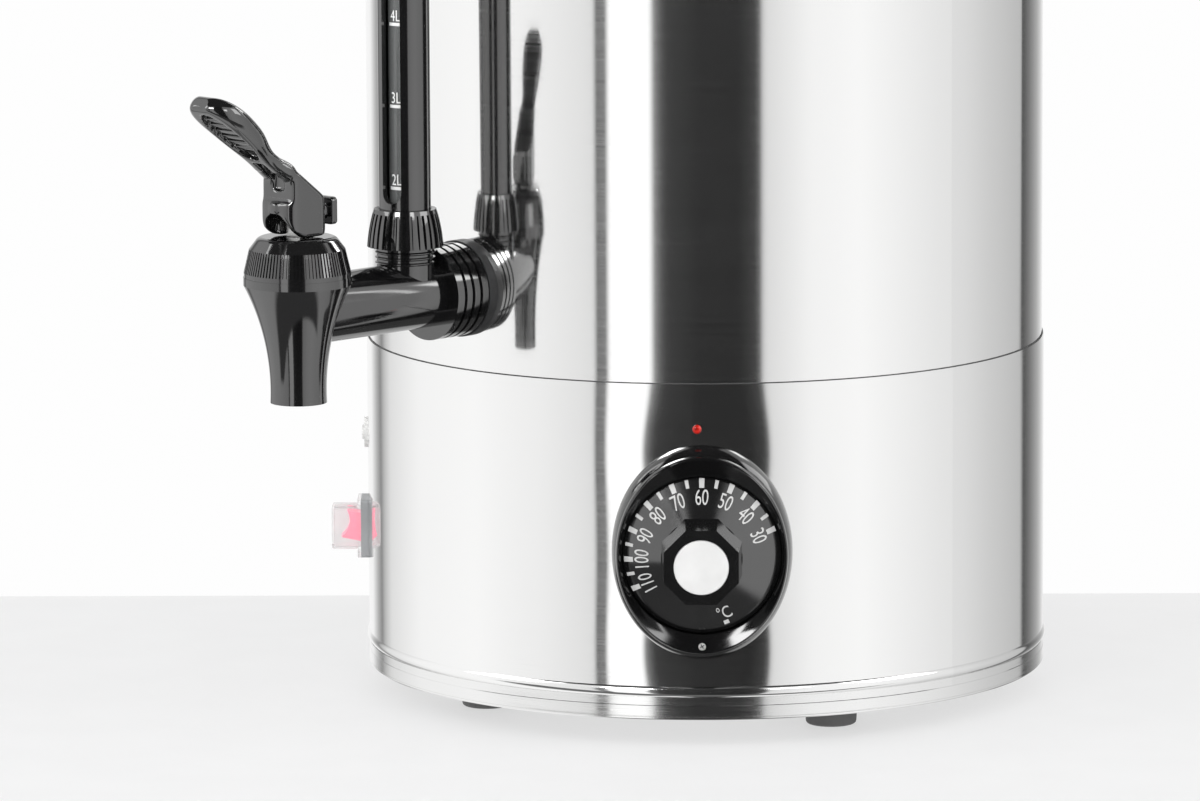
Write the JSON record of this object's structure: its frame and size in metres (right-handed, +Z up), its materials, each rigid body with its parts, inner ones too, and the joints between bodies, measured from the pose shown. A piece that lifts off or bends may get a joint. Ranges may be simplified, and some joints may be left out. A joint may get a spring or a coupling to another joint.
{
  "type": "insulated beverage dispenser",
  "caption": "Double-walled steel urn for hot drinks with a self-closing lever tap, sight gauge, thermostat dial, hooded rocker switch, side handles and lift-off lid.",
  "frame": {"origin": "on the body's axis, at the level of the surface that the feet stand on", "axes": "+Z up along the body's axis, -Y out through the tap, +X to the right of the tap seen from the front"},
  "size_m": [0.34, 0.3715, 0.4892],
  "materials": {
    "polished_steel": "mirror-polished stainless sheet with a faint horizontal grain",
    "pan_steel": "satin stainless pressing",
    "vessel_steel": "satin deep-drawn stainless",
    "fixing_steel": "bright plated steel",
    "cast_aluminium": "as cast",
    "bulb_copper": "drawn copper",
    "inner_plastic": "matt moulded plastic",
    "black_plastic": "smooth glossy black moulding",
    "handle_plastic": "fine-grained black moulding",
    "dial_cap_white": "smooth white insert",
    "foot_rubber": "matt black rubber",
    "seal_rubber": "matt dark rubber",
    "valve_silicone": "translucent milky silicone",
    "gauge_clear": "clear drawn tube",
    "boot_clear": "clear soft moulding",
    "lens_red": "clear red lens",
    "rocker_red": "translucent red rocker",
    "frame_grey": "grey moulding",
    "reset_white": "smooth pale moulding"
  },
  "bodies": {
    "dispenser": {"outer_shell": "polished_steel", "base_shell": "polished_steel", "base_pan": "pan_steel", "inner_vessel": "vessel_steel", "vessel_base": "vessel_steel", "foot_screws": "fixing_steel", "tie_rod": "fixing_steel", "tie_nut": "fixing_steel", "bezel_screw": "fixing_steel", "handle_screws": "fixing_steel", "head_nut": "fixing_steel", "stem_spring": "fixing_steel", "heating_element": "fixing_steel", "heater_plate": "cast_aluminium", "thermostat_bulb": "bulb_copper", "thermostat_body": "inner_plastic", "pilot_holder": "inner_plastic", "cutout_body": "inner_plastic", "terminal_block": "inner_plastic", "gland_nut": "inner_plastic", "cable_gland": "inner_plastic", "wall_spacer": "inner_plastic", "lock_nut": "inner_plastic", "thermostat_bezel": "black_plastic", "tap_tee": "black_plastic", "tap_body": "black_plastic", "tap_bonnet": "black_plastic", "gauge_sleeve": "black_plastic", "gauge_nut": "black_plastic", "gauge_head": "black_plastic", "side_handle_right": "handle_plastic", "side_handle_left": "handle_plastic", "feet": "foot_rubber", "outer_seal": "seal_rubber", "inner_seal": "seal_rubber", "gauge_seal": "seal_rubber", "gauge_tube": "gauge_clear", "switch_boot": "boot_clear", "pilot_lens": "lens_red", "switch_frame": "frame_grey", "reset_collar": "reset_white"},
    "stem": {"valve_stem": "fixing_steel", "valve_cup": "valve_silicone", "lever_pin": "fixing_steel"},
    "lever": {"tap_lever": "black_plastic"},
    "dial": {"thermostat_dial": "black_plastic", "dial_cap": "dial_cap_white", "thermostat_spindle": "fixing_steel"},
    "rocker": {"rocker": "rocker_red"},
    "reset_button": {"reset_button": "reset_white"},
    "lid": {"lid": "polished_steel", "lid_knob": "handle_plastic", "knob_screw": "fixing_steel"}
  },
  "joints": [
    {"name": "stem_lift", "type": "slide", "parent": "dispenser", "child": "stem", "axis": [0, 0, 1], "range_m": [0, 0.0027], "deforming": ["stem_spring"]},
    {"name": "lever_press", "type": "hinge", "parent": "stem", "child": "lever", "pos_m": [0, -0.1966, 0.1871], "axis": [1, 0, 0], "range_deg": [0, 42], "stiffness_Nm_per_rad": 0.02, "springref_deg": -34.38},
    {"name": "dial_turn", "type": "hinge", "parent": "dispenser", "child": "dial", "pos_m": [0.08381, -0.08679, 0.0685], "axis": [0.6947, -0.7193, 0], "range_deg": [-112, 160]},
    {"name": "rocker_tilt", "type": "hinge", "parent": "dispenser", "child": "rocker", "pos_m": [-0.08644, -0.08644, 0.057], "axis": [0.7071, -0.7071, 0], "range_deg": [0, 24]},
    {"name": "reset_press", "type": "slide", "parent": "dispenser", "child": "reset_button", "axis": [0.7071, 0.7071, 0], "range_m": [0, 0.0015], "stiffness_N_per_m": 400, "springref_m": -0.002},
    {"name": "lid_lift", "type": "slide", "parent": "dispenser", "child": "lid", "axis": [0, 0, 1], "range_m": [0, 0.12]}
  ],
  "couplings": [
    {"joint": "lever_press", "follows": "stem_lift", "rad_per_m": 256.41}
  ]
}
